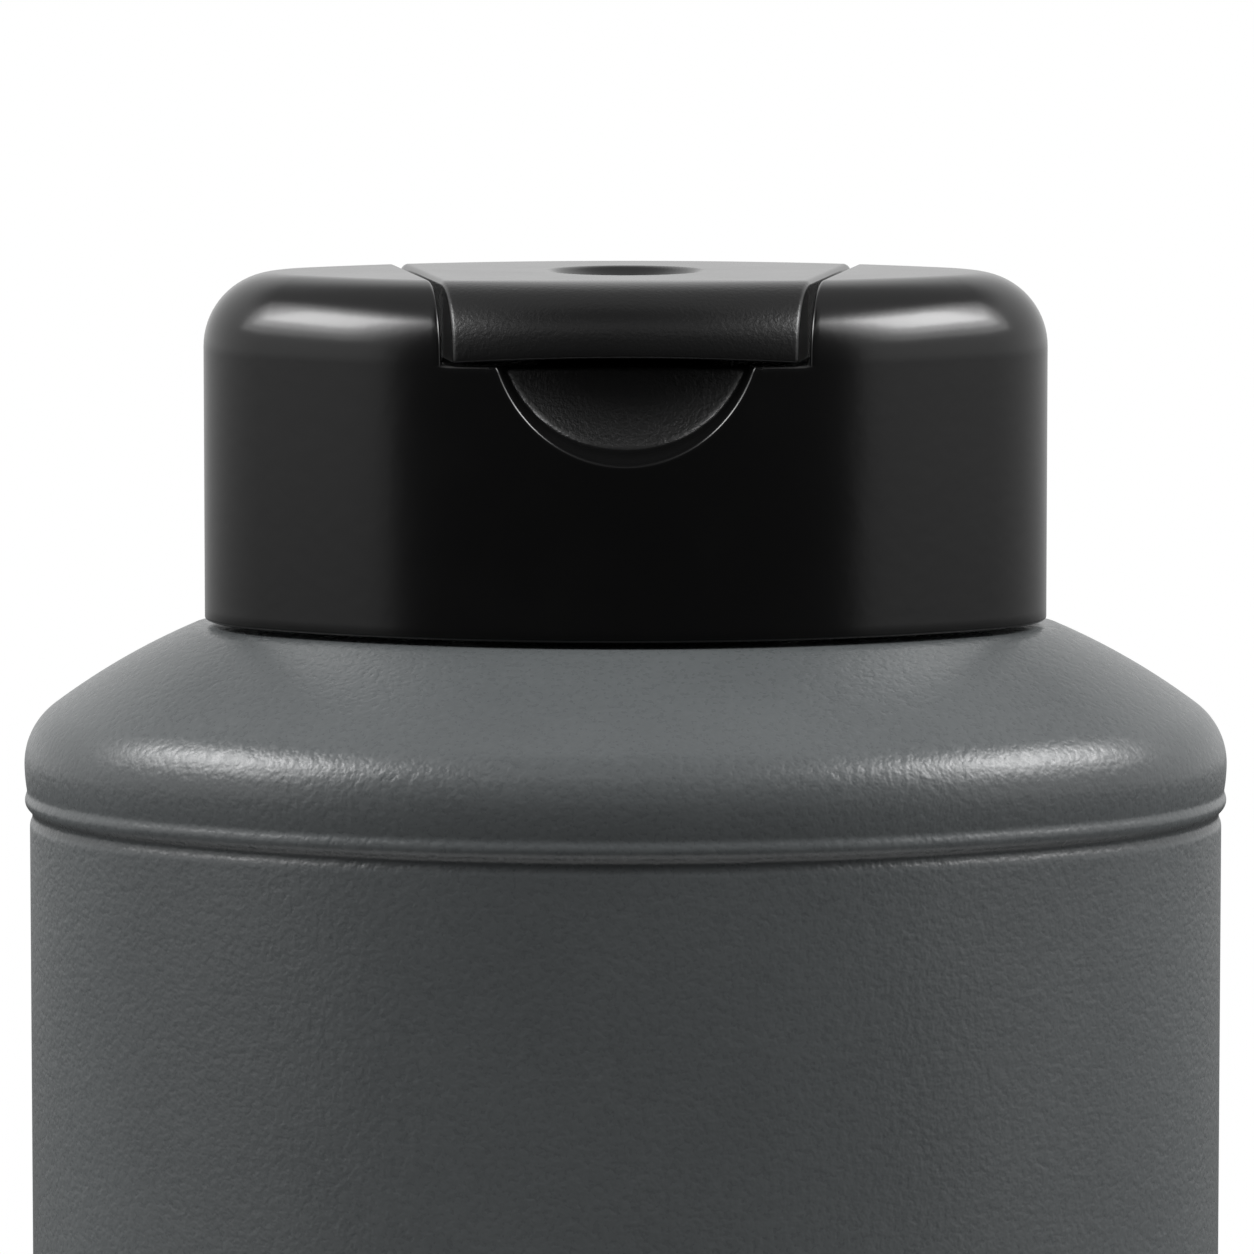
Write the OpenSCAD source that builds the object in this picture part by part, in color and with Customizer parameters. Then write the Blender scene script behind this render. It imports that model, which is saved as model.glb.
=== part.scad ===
// Oval squeeze bottle with a push-fit oval flip-top cap.
// The foot rests on z = 0, the front faces -Y, sizes are in millimetres.
// Every level of the pack is the same four-arc oval, grown or shrunk by an even
// offset: two end arcs and two side arcs that meet on 3-4-5 triangles.

/* [Pack] */
// Height of the closed pack, from the foot to the top of the cap
pack_h = 168; // [150:1:190]
// Width of the bottle at its widest, left to right
body_w = 85.8; // [82:0.2:92]
// Half width less half depth, the same for every oval of the pack
oval_stretch = 12.8; // [12:0.2:13.6]

/* [Bottle] */
// Wall of the blown bottle
bottle_wall = 1.3; // [0.8:0.1:1.8]
// Radius of the shoulder's convex slope
shoulder_r = 49; // [42:1:60]
// Radius of the shoulder's rounded edge
shoulder_round = 5; // [4:0.2:6]
// Ledge of the cap seat that shows round the foot of the cap
seat_ledge = 0.9; // [0.5:0.1:1.6]
// Drop from the shoulder's widest point to the middle of the bead
bead_drop = 2.6; // [2.2:0.2:3.4]
// Radius of the bulge between the shoulder's widest point and the bead
waist_r = 11; // [9:0.5:16]
// Radius of the bead's crown
bead_r = 0.8; // [0.6:0.1:1.1]
// Radius of the groove under the bead
groove_r = 0.6; // [0.4:0.1:0.9]
// Radius of the label panel's edge
panel_edge_r = 0.4; // [0.2:0.1:0.7]
// Height of the lower bead above the foot
foot_bead_z = 12; // [11:0.5:20]
// Radius of the heel, where the wall turns under
heel_r = 6; // [4:0.5:7]
// Width of the foot ring that the bottle stands on
foot_w = 2.4; // [2:0.2:4]
// Rise of the base inside the foot ring
base_rise = 2.4; // [1.2:0.2:4]

/* [Neck] */
// Outside diameter of the neck
neck_d = 21.6; // [19:0.2:22]
// Wall of the neck
neck_wall = 2; // [1.4:0.1:2.6]
// Height of the neck's snap bead above the cap seat
snap_z = 8; // [6:0.5:11]
// How far the snap bead stands out from the neck
snap_proud = 0.6; // [0.4:0.1:0.8]

/* [Cap] */
// Width of the cap, left to right
cap_w = 60; // [58:0.2:66]
// Height of the cap, from the skirt's edge to the top
cap_h = 24.9; // [23:0.1:30]
// Radius of the rounded top edge
cap_round = 5.3; // [4.6:0.1:6]
// Wall of the cap moulding
cap_wall = 1.3; // [1:0.1:1.6]
// Radius of the skirt's lower outer edge
skirt_edge_r = 0.5; // [0.3:0.1:0.8]
// Gap between the skirt's edge and the cap seat
seat_gap = 0.3; // [0.2:0.1:0.6]
// Clearance between the cap's inner parts and the neck
neck_fit = 0.2; // [0.2:0.05:0.4]

/* [Lid] */
// Depth of the lid's slot below the top of the cap
slot_depth = 5.6; // [5.2:0.1:6.4]
// Width of the slot at the front of the cap
slot_w = 26; // [22:0.5:28]
// Widening of the slot on each side for each millimetre towards the rear
slot_flare = 0.15; // [0.05:0.01:0.2]
// Gap on each side of the lid
lid_gap = 0.8; // [0.5:0.05:1.2]
// Gap under the lid's lower edge
lid_lift = 0.5; // [0.4:0.05:0.8]
// Wall of the lid
lid_wall = 1.3; // [1:0.1:1.6]
// Rise of the arch in the lid's front lower edge
lid_arch = 0.45; // [0.2:0.05:0.8]
// Diameter of the finger dimple in the lid's top
dimple_d = 10.8; // [8:0.2:13]
// Depth of the finger dimple
dimple_depth = 1; // [0.6:0.1:1.2]

/* [Spout] */
// How far the spout sits behind the middle of the cap
spout_y = 1.2; // [0:0.2:2]
// Diameter of the hole in the spout
orifice_d = 6.4; // [5.4:0.2:8]
// Diameter of the spout at its foot
spout_d = 11; // [10:0.2:13]
// Height of the spout above the deck
spout_h = 2.4; // [1.8:0.1:2.6]
// Clearance round the lid's plug in the hole
plug_gap = 0.4; // [0.25:0.05:0.6]
// How far the plug reaches into the hole
plug_reach = 1.6; // [1:0.1:1.9]

/* [Thumb recess] */
// Radius of the recess's outer edge
recess_r = 9.8; // [8:0.1:11]
// Drop from the top of the cap to the middle of the recess's circle
recess_drop = 2.6; // [2:0.1:3.4]
// Depth of the dished floor at the middle of the circle
recess_depth = 3.5; // [2.6:0.1:3.8]
// Radius of the dished floor
dish_r = 25; // [20:1:40]
// Draft of the recess's rim, sideways for each millimetre of depth
recess_draft = 0.38; // [0.2:0.02:0.5]

/* [Hinge] */
// Radius of the hinge's round web
hinge_r = 0.4; // [0.3:0.05:0.6]
// Length of the hinge along the rear edge
hinge_w = 13; // [9:0.5:16]
// Clearance round the hinge's web
hinge_gap = 0.3; // [0.25:0.05:0.5]

/* [Hidden] */
$fn = 128;

// Overlap that lets cuts run clear of the faces they open
over = 1;

// The 3-4-5 direction that arcs meet on
slope = [0.6, 0.8];

// The ovals: end-arc centres at (+-end_x, 0), side-arc centres at (0, -+side_y)
end_x = 1.5 * oval_stretch;
side_y = 2 * oval_stretch;
side_r = 2.5 * oval_stretch;
// Far point of the sector lines, on the 3-4-5 direction and well outside the bottle
sector_y = body_w;
sector_x = end_x + sector_y * slope[0] / slope[1];
// Offset at the innermost stretch of a profile that fills an oval's middle
core_u = -8;

// Offsets from the end-arc centres: an oval of half width a has the offset a - end_x
body_u = body_w / 2 - end_x;
cap_u = cap_w / 2 - end_x;
cap_b = cap_w / 2 - oval_stretch;

// The shoulder's slope starts from the rounded edge at 3 in 4 and rises along its
// own arc to the edge of the seat, which sets how far the seat stands above the widest point
seat_u = cap_u + seat_ledge;
edge_top_u = body_u - shoulder_round * (1 - slope[0]);
seat_run = seat_u - edge_top_u + shoulder_r * slope[0];
seat_rise = sqrt(shoulder_r * shoulder_r - seat_run * seat_run);
shoulder_drop = round(10 * (seat_rise - (shoulder_r - shoulder_round) * slope[1])) / 10;

// Levels of the pack
skirt_z = pack_h - cap_h;
seat_z = skirt_z - seat_gap;
wide_z = seat_z - shoulder_drop;
bead_z = wide_z - bead_drop;
deck_z = pack_h - slot_depth;
deck_under_z = deck_z - cap_wall;
lid_z = deck_z + lid_lift;

// Centres of the shoulder's rounded edge and of its slope
edge_c = [body_u - shoulder_round, wide_z];
shoulder_c = edge_c - (shoulder_r - shoulder_round) * slope;

// Bead, groove and panel edge: three arcs that meet on 3-4-5 directions
bead_c = [body_u - bead_r, bead_z];
groove_c = bead_c + (bead_r + groove_r) * [slope[0], -slope[1]];
panel_c = groove_c - (groove_r + panel_edge_r) * [slope[1], slope[0]];
panel_u = panel_c[0] + panel_edge_r;
wall_u = body_u - bottle_wall;
mid_z = (bead_z + foot_bead_z) / 2;

// Foot ring and the raised base inside it
foot_u = body_u - heel_r;
ring_u = foot_u - foot_w;
// Run of the ring's inner slope for each millimetre of rise
base_slope = 0.8;
base_u = ring_u - base_rise * base_slope;

// Neck and what snaps over it
neck_r = neck_d / 2;
bore_r = neck_r - neck_wall;
neck_top_z = deck_under_z - seat_gap;
snap_top_z = seat_z + snap_z;
// Half height of the snap bead
snap_half = 0.9;
sleeve_r = neck_r + snap_proud + neck_fit;
// Height of the sleeve's foot above the seat
sleeve_lift = 2.6;
sleeve_foot_z = seat_z + sleeve_lift;
// Height and wall of the ring that seals in the neck
seal_h = 3;
seal_w = 1;

// Lid and hinge
dimple_r = dimple_d / 2;
dimple_ball_r = (dimple_r * dimple_r + dimple_depth * dimple_depth) / (2 * dimple_depth);
boss_r = dimple_r + lid_wall;
boss_z = pack_h - dimple_depth - lid_wall;
spout_top_z = deck_z + spout_h;
// How far the spout's upper edge leans in
spout_chamfer = 0.8;
plug_r = orifice_d / 2 - plug_gap;
arch_half = slot_w / 2 - lid_gap;
arch_r = (arch_half * arch_half + lid_arch * lid_arch) / (2 * lid_arch);
hinge_y = cap_b;
hinge_z = lid_z - lid_lift / 2;

// Colours
bottle_grey = [0.37, 0.385, 0.39];
cap_black = [0.07, 0.07, 0.07];

// Carries a profile, drawn as offset across and height up, round the oval
module oval_sweep() {
    for (end = [0, 1])
        mirror([end, 0, 0])
            intersection() {
                translate([end_x, 0, 0])
                    rotate_extrude()
                        intersection() {
                            children();
                            translate([0, -over])
                                square([body_w, pack_h + 2 * over]);
                        }
                translate([0, 0, -over])
                    linear_extrude(pack_h + 2 * over)
                        polygon([[end_x, 0], [sector_x, sector_y], [sector_x, -sector_y]]);
            }
    for (side = [0, 1])
        mirror([0, side, 0])
            intersection() {
                translate([0, -side_y, 0])
                    rotate_extrude()
                        translate([side_r, 0])
                            children();
                translate([0, 0, -over])
                    linear_extrude(pack_h + 2 * over)
                        polygon([[-end_x, 0], [end_x, 0], [sector_x, sector_y], [-sector_x, sector_y]]);
            }
}

// Disc about a centre, kept only inside the outline of points round that centre
module pie(centre, r, points) {
    translate(centre)
        intersection() {
            circle(r);
            polygon(concat([[0, 0]], points));
        }
}

// Filled profile from the core out to an offset, between two heights
module band(u, z_low, z_high) {
    translate([core_u, z_low])
        square([u - core_u, z_high - z_low]);
}

// Shoulder profile, inset from the outside by a wall
module shoulder_profile(inset) {
    r = shoulder_round - inset;
    rise = seat_z - inset - wide_z;
    intersection() {
        translate(shoulder_c)
            circle(shoulder_r - inset);
        polygon([[core_u, wide_z], edge_c, edge_c + rise / slope[1] * slope, [core_u, wide_z + rise]]);
    }
    pie(edge_c, r, 2 * r * [[1, 0], [1, slope[1]], slope]);
}

// Outer profile from the shoulder's widest point down to the panel's edge
module bead_profile() {
    intersection() {
        translate([body_u - waist_r, wide_z])
            circle(waist_r);
        band(body_u + over, bead_z, wide_z);
    }
    pie(bead_c, bead_r, 2 * [[slope[0], -slope[1]], [1, -slope[1]], [1, 1], [0, 1]]);
    difference() {
        polygon([[core_u, bead_z], bead_c, groove_c, panel_c, [core_u, panel_c[1]]]);
        translate(groove_c)
            circle(groove_r);
    }
    pie(panel_c, panel_edge_r, 2 * [[1, 0], [1, slope[0]], [slope[1], slope[0]]]);
}

// Outer profile of the body, without the neck
module body_profile() {
    shoulder_profile(0);
    bead_profile();
    band(panel_u, 2 * mid_z - panel_c[1], panel_c[1]);
    translate([0, 2 * mid_z])
        mirror([0, 1])
            bead_profile();
    band(body_u, heel_r, foot_bead_z - bead_drop);
    pie([foot_u, heel_r], heel_r, [[0, -2 * heel_r], [2 * heel_r, -2 * heel_r], [2 * heel_r, 0]]);
    polygon([[core_u, base_rise], [base_u, base_rise], [ring_u, 0], [foot_u, 0], [foot_u, heel_r],
             [core_u, heel_r]]);
}

// Profile of the hollow inside the body
module hollow_profile() {
    floor_z = base_rise + bottle_wall;
    r = heel_r - bottle_wall;
    inner_ring_u = ring_u + bottle_wall / 2;
    shoulder_profile(bottle_wall);
    band(wall_u, heel_r, wide_z);
    pie([foot_u, heel_r], r, [[0, -2 * r], [2 * r, -2 * r], [2 * r, 0]]);
    polygon([[core_u, floor_z], [inner_ring_u - base_rise * base_slope, floor_z],
             [inner_ring_u, bottle_wall], [foot_u, bottle_wall], [foot_u, heel_r], [core_u, heel_r]]);
}

// Neck with the bead that the cap snaps over
module neck() {
    rotate_extrude()
        polygon([[bore_r, seat_z - bottle_wall], [neck_r, seat_z - bottle_wall],
                 [neck_r, snap_top_z - snap_half], [neck_r + snap_proud, snap_top_z - snap_half / 2],
                 [neck_r + snap_proud, snap_top_z], [neck_r, snap_top_z + snap_half],
                 [neck_r, neck_top_z], [bore_r, neck_top_z]]);
}

// Bottle: one blown piece
module bottle() {
    color(bottle_grey)
        difference() {
            union() {
                oval_sweep()
                    difference() {
                        body_profile();
                        hollow_profile();
                    }
                neck();
            }
            translate([0, 0, seat_z - bottle_wall - over])
                cylinder(h = bottle_wall + 2 * over, r = bore_r);
        }
}

// Filled profile of the closed cap, inset from the outside by a wall
module cap_profile(inset) {
    r = cap_round - inset;
    arc_c = [cap_u - cap_round, pack_h - cap_round];
    band(cap_u - inset, skirt_z + skirt_edge_r, arc_c[1]);
    band(arc_c[0], arc_c[1], pack_h - inset);
    pie(arc_c, r, [[2 * r, 0], [2 * r, 2 * r], [0, 2 * r]]);
}

// Small rounded edge at the foot of the skirt
module skirt_foot_profile() {
    foot_c = [cap_u - skirt_edge_r, skirt_z + skirt_edge_r];
    translate([cap_u - cap_wall, skirt_z])
        square([cap_wall - skirt_edge_r, skirt_edge_r]);
    pie(foot_c, skirt_edge_r, [[0, -2 * skirt_edge_r], [2 * skirt_edge_r, -2 * skirt_edge_r],
                               [2 * skirt_edge_r, 0]]);
}

// Flared slot across the top of the cap, grown on each side, from a height upwards
module slot_block(grow, z_low) {
    reach = cap_b + 4 * over;
    front = slot_w / 2 + slot_flare * (cap_b - reach) + grow;
    rear = slot_w / 2 + slot_flare * (cap_b + reach) + grow;
    translate([0, 0, z_low])
        linear_extrude(pack_h + over - z_low)
            polygon([[-front, -reach], [front, -reach], [rear, reach], [-rear, reach]]);
}

// Thumb recess: a drafted round rim closed by a dished floor, grown by a wall
module thumb_recess(grow) {
    lead = 3;
    run = lead + recess_depth + grow + over;
    rim_r = recess_r + grow + lead * recess_draft;
    translate([0, -cap_b, pack_h - recess_drop])
        intersection() {
            translate([0, -lead, 0])
                rotate([-90, 0, 0])
                    cylinder(h = run, r1 = rim_r, r2 = rim_r - run * recess_draft);
            translate([0, recess_depth - dish_r, 0])
                sphere(dish_r + grow);
        }
}

// Spout on the deck and the ring that seals in the neck
module spout() {
    translate([0, spout_y, 0])
        rotate_extrude()
            polygon([[0, deck_under_z], [spout_d / 2, deck_under_z], [spout_d / 2, deck_z + spout_h / 2],
                     [spout_d / 2 - spout_chamfer, spout_top_z], [0, spout_top_z]]);
    translate([0, 0, deck_under_z - seal_h])
        difference() {
            cylinder(h = seal_h + cap_wall / 2, r = bore_r - neck_fit);
            translate([0, 0, -over])
                cylinder(h = seal_h + cap_wall + 2 * over, r = bore_r - neck_fit - seal_w);
        }
}

// Sleeve that hangs from the deck over the neck, with its snap ring
module sleeve() {
    ring_r = neck_r + neck_fit;
    ring_top_z = snap_top_z - snap_half - seat_gap;
    rotate_extrude()
        polygon([[sleeve_r, sleeve_foot_z], [sleeve_r + cap_wall, sleeve_foot_z],
                 [sleeve_r + cap_wall, deck_z - cap_wall / 2], [sleeve_r, deck_z - cap_wall / 2],
                 [sleeve_r, ring_top_z], [ring_r, ring_top_z - snap_half / 2],
                 [ring_r, ring_top_z - snap_half], [sleeve_r, ring_top_z - 2 * snap_half]]);
}

// Round channel along the rear edge that leaves room for the hinge
module hinge_round(r, length) {
    translate([-length / 2, hinge_y, hinge_z])
        rotate([0, 90, 0])
            cylinder(h = length, r = r);
}

// Cap base: skirt, cheeks, slot, deck, spout, thumb recess and sleeve in one moulding
module cap_base() {
    color(cap_black)
        difference() {
            union() {
                oval_sweep() {
                    difference() {
                        cap_profile(0);
                        cap_profile(cap_wall);
                    }
                }
                oval_sweep()
                    skirt_foot_profile();
                intersection() {
                    oval_sweep()
                        cap_profile(0);
                    union() {
                        slot_block(cap_wall, deck_under_z);
                        thumb_recess(cap_wall);
                    }
                }
                spout();
                sleeve();
            }
            slot_cut();
            thumb_recess(0);
            translate([0, spout_y, deck_under_z - over])
                cylinder(h = cap_wall + spout_h + 2 * over, r = orifice_d / 2);
            hinge_round(hinge_r + hinge_gap, hinge_w + 2 * hinge_gap);
        }
}

// Room for the lid above the deck, round the spout
module slot_cut() {
    difference() {
        slot_block(0, deck_z);
        spout();
    }
}

// Flip lid: the band of the cap's top between the cheeks, hollow underneath
module flip_lid() {
    color(cap_black)
        difference() {
            union() {
                difference() {
                    intersection() {
                        oval_sweep()
                            cap_profile(0);
                        slot_block(-lid_gap, lid_z);
                    }
                    intersection() {
                        oval_sweep()
                            cap_profile(lid_wall);
                        slot_block(-lid_gap - lid_wall, lid_z - over);
                    }
                }
                translate([0, spout_y, boss_z])
                    cylinder(h = pack_h - lid_wall / 2 - boss_z, r = boss_r);
                translate([0, spout_y, spout_top_z - plug_reach])
                    cylinder(h = boss_z + lid_wall / 2 - spout_top_z + plug_reach, r = plug_r);
                hinge_round(hinge_r, hinge_w);
            }
            translate([0, spout_y, pack_h - dimple_depth + dimple_ball_r])
                sphere(dimple_ball_r);
            translate([0, -cap_b - over, lid_z + lid_arch - arch_r])
                rotate([-90, 0, 0])
                    cylinder(h = cap_b + over - boss_r, r = arch_r);
        }
}

bottle();
cap_base();
flip_lid();
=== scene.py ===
"""Looks of an oval grey squeeze bottle with a black flip-top cap.

Every level of the pack is one oval, grown or shrunk by an even offset, so the
skins are grids over the oval's normal angle and a profile of offset and height.
Sizes are in millimetres until a mesh is written, in metres, in the CAD's frame.
Finishes, lamps and the camera are in metres.
"""
import logging
import math
from dataclasses import dataclass
from enum import Enum
from typing import Any, Optional, Sequence, Union

import bpy
import numpy as np
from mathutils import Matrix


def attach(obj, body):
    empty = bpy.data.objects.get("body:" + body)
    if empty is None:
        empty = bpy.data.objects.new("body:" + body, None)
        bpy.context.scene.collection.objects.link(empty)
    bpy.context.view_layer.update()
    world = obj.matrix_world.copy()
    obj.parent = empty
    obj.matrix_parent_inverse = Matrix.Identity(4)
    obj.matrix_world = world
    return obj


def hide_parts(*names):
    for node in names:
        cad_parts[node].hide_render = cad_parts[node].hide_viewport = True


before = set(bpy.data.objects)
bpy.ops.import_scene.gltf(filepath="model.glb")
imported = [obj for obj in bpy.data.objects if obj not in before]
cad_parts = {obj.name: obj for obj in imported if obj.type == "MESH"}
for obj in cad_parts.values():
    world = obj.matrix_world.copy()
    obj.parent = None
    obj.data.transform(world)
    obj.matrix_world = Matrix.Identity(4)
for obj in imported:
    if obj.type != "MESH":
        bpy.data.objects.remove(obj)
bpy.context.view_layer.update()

logging.basicConfig(level=logging.INFO, format="%(name)s: %(message)s")
LOG = logging.getLogger("bottle_looks")

Array = np.ndarray
Colour = tuple[float, float, float, float]

MM = 0.001
# Points that share a cell of this size are one point
MERGE = 1e-4
# Direction in which arcs meet, on a 3-4-5 triangle
JOIN = np.array([0.6, 0.8])
JOIN_DEG = math.degrees(math.atan2(0.8, 0.6))
WHITE: Colour = (1.0, 1.0, 1.0, 1.0)


class Slot(Enum):
    """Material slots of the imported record."""

    BOTTLE = "bottle_plastic"
    CAP = "cap_plastic"


class Body(Enum):
    """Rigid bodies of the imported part."""

    ROOT = "root"
    LID = "lid"


def arc(centre: Sequence[float], r: float, start: float, end: float, count: int) -> Array:
    """Points on a circle's arc: centre plus r times (cos, sin) of evenly spaced angles.

    Args:
        centre: Middle of the circle, offset and height.
        r: Radius.
        start: First angle in degrees.
        end: Last angle in degrees.
        count: Number of points.

    Returns:
        Points, one a row.
    """
    angle = np.radians(np.linspace(start, end, count))
    return np.asarray(centre) + r * np.stack([np.cos(angle), np.sin(angle)], axis=-1)


def line(start: Sequence[float], end: Sequence[float], count: int) -> Array:
    """Evenly spaced points from start to end, both included."""
    step = np.linspace(0.0, 1.0, count)[:, None]
    return np.asarray(start) * (1.0 - step) + np.asarray(end) * step


def softened(rows: Array, spread: float, pitch: float = 0.04, keep: int = 3) -> Array:
    """Round the corners of a profile by averaging along its length under a bell curve.

    Args:
        rows: Points of the profile, whose ends stay.
        spread: Standard deviation of the bell curve.
        pitch: Spacing of the points that are averaged.
        keep: One point in so many is kept.

    Returns:
        The softened profile.
    """
    run = np.concatenate([[0.0], np.cumsum(np.hypot(*np.diff(rows, axis=0).T))])
    even = np.arange(0.0, run[-1], pitch)
    reach = int(3 * spread / pitch)
    bell = np.exp(-0.5 * (np.arange(-reach, reach + 1) * pitch / spread) ** 2)
    out = []
    for axis in range(2):
        track = np.interp(even, run, rows[:, axis])
        before = 2 * track[0] - track[reach:0:-1]
        after = 2 * track[-1] - track[-2:-reach - 2:-1]
        padded = np.concatenate([before, track, after])
        out.append(np.convolve(padded, bell / bell.sum(), mode="valid"))
    soft = np.stack(out, axis=-1)[keep:-keep:keep]
    return np.concatenate([rows[:1], soft, rows[-1:]])


def soft_max(first: Array, second: Array, width: float) -> Array:
    """Greater of two values, rounded over where they differ by less than width."""
    share = np.clip(0.5 + 0.5 * (first - second) / width, 0.0, 1.0)
    return second * (1.0 - share) + first * share + width * share * (1.0 - share)


def turn(first: Array, second: Array, count: int) -> Array:
    """Unit directions that swing evenly from one to another, on the great arc between them.

    Args:
        first: Unit vectors, one a row.
        second: Unit vectors, one a row or a single one.
        count: Number of directions, both ends included.

    Returns:
        Rows by count by three.
    """
    second = np.broadcast_to(second, first.shape)
    angle = np.arccos(np.clip((first * second).sum(-1), -1.0, 1.0))[:, None, None]
    angle = np.maximum(angle, 1e-6)
    step = np.linspace(0.0, 1.0, count)[None, :, None]
    swing = np.sin((1.0 - step) * angle) * first[:, None] + np.sin(step * angle) * second[:, None]
    return swing / np.sin(angle)


def full_turn(columns: int) -> Array:
    """Evenly spaced bearings of one full turn, in radians."""
    return np.linspace(0.0, 2 * math.pi, columns + 1)[:-1]


def ring(profile: Array, bearing: Array, centre_y: float = 0.0) -> Array:
    """Turn a profile about an upright axis: radius times (cos, sin) of the bearing, and its height.

    Args:
        profile: Radius and height, one point a row.
        bearing: Bearings of the columns.
        centre_y: Where the axis crosses Y.

    Returns:
        Rows by columns by three.
    """
    r, z = profile[:, :1], profile[:, 1:]
    return np.stack([r * np.cos(bearing), centre_y + r * np.sin(bearing), z + 0.0 * bearing], axis=-1)


@dataclass(frozen=True)
class Oval:
    """Four-arc oval family whose arcs meet on 3-4-5 triangles."""

    stretch: float = 12.8

    @property
    def end_x(self) -> float:
        """Distance from the middle to an end arc's centre."""
        return 1.5 * self.stretch

    @property
    def side_y(self) -> float:
        """Distance from the middle to a side arc's centre."""
        return 2.0 * self.stretch

    @property
    def side_r(self) -> float:
        """Radius of a side arc at offset zero."""
        return 2.5 * self.stretch

    def point(self, phi: Array, u: Array) -> tuple[Array, Array]:
        """Point of the oval at a normal angle and an offset.

        The point is its arc's centre plus the arc's radius times (cos phi, sin phi):
        radius u about (+-end_x, 0) on the ends, side_r + u about (0, -+side_y) on the sides.

        Args:
            phi: Angle of the outward normal, in radians.
            u: Offset from the end arcs' centres.

        Returns:
            X and Y.
        """
        cos, sin = np.cos(phi), np.sin(phi)
        end = np.abs(sin) <= JOIN[1]
        base_x = np.where(end, np.sign(cos) * self.end_x, self.side_r * cos)
        base_y = np.where(end, 0.0, self.side_r * sin - np.sign(sin) * self.side_y)
        return base_x + u * cos, base_y + u * sin

    def sweep(self, phi: Array, rows: Array) -> Array:
        """Carry rows of offset and height round the oval: rows by angles by three."""
        x, y = self.point(phi[None, :], rows[:, :1])
        return np.stack([x, y, rows[:, 1:] + 0.0 * x], axis=-1)

    def angles(self, start: float, end: float, count: int, u: float) -> Array:
        """Normal angles evenly spaced by length along the oval of offset u.

        Args:
            start: First angle in radians.
            end: Last angle in radians.
            count: Number of angles.
            u: Offset of the oval that is measured.

        Returns:
            The angles.
        """
        fine = np.linspace(start, end, 4001)
        x, y = self.point(fine, np.full_like(fine, u))
        run = np.concatenate([[0.0], np.cumsum(np.hypot(np.diff(x), np.diff(y)))])
        return np.interp(np.linspace(0.0, run[-1], count), run, fine)


OVAL = Oval()


class Shell:
    """Collects grids of points and writes them as one welded mesh."""

    def __init__(self) -> None:
        """Start with no points and no faces."""
        self._points: list[Array] = []
        self._faces: list[Array] = []
        self._count = 0

    def grid(self, points: Array, closed: bool = False, flip: bool = False) -> None:
        """Add a grid of points as quads.

        Args:
            points: Rows by columns by three.
            closed: Join the last column to the first.
            flip: Turn the faces round.
        """
        rows, cols = points.shape[:2]
        index = np.arange(rows * cols).reshape(rows, cols) + self._count
        if closed:
            index = np.concatenate([index, index[:, :1]], axis=1)
        quads = np.stack([index[:-1, :-1], index[:-1, 1:], index[1:, 1:], index[1:, :-1]], axis=-1)
        quads = quads.reshape(-1, 4)
        self._points.append(points.reshape(-1, 3))
        self._faces.append(quads[:, ::-1] if flip else quads)
        self._count += rows * cols

    def mirrored(self, points: Array, flip: bool = False) -> None:
        """Add a grid and its mirror image across the plane X = 0."""
        self.grid(points, flip=flip)
        self.grid(points * np.array([-1.0, 1.0, 1.0]), flip=not flip)

    def welded(self) -> tuple[Array, list[list[int]]]:
        """Merge points that coincide and drop what collapses.

        Returns:
            Points in millimetres and faces as lists of indices.
        """
        points = np.concatenate(self._points)
        keys = np.round(points / MERGE).astype(np.int64)
        _, first, inverse = np.unique(keys, axis=0, return_index=True, return_inverse=True)
        faces = inverse.reshape(-1)[np.concatenate(self._faces)]
        same = faces == np.roll(faces, -1, axis=1)
        quads = faces[~same.any(axis=1)]
        folded = faces[same.sum(axis=1) == 1]
        keep = ~(folded == np.roll(folded, -1, axis=1))
        tris = folded[keep].reshape(-1, 3)
        return points[first], quads.tolist() + tris.tolist()

    def build(self, name: str, sharp_deg: float = 35.0) -> bpy.types.Object:
        """Write the welded mesh as an object at the origin, in metres.

        Args:
            name: Name of the object.
            sharp_deg: Edges that bend more than this stay sharp in the shading.

        Returns:
            The new object.
        """
        points, faces = self.welded()
        mesh = bpy.data.meshes.new(name)
        mesh.from_pydata((points * MM).tolist(), [], faces)
        mesh.validate()
        mesh.shade_smooth()
        mesh.set_sharp_from_angle(angle=math.radians(sharp_deg))
        piece = bpy.data.objects.new(name, mesh)
        bpy.context.scene.collection.objects.link(piece)
        LOG.info("%s: %d points, %d faces", name, len(points), len(faces))
        return piece


def wear(piece: bpy.types.Object, material: bpy.types.Material) -> None:
    """Give a piece its only material."""
    piece.data.materials.clear()
    piece.data.materials.append(material)


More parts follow.
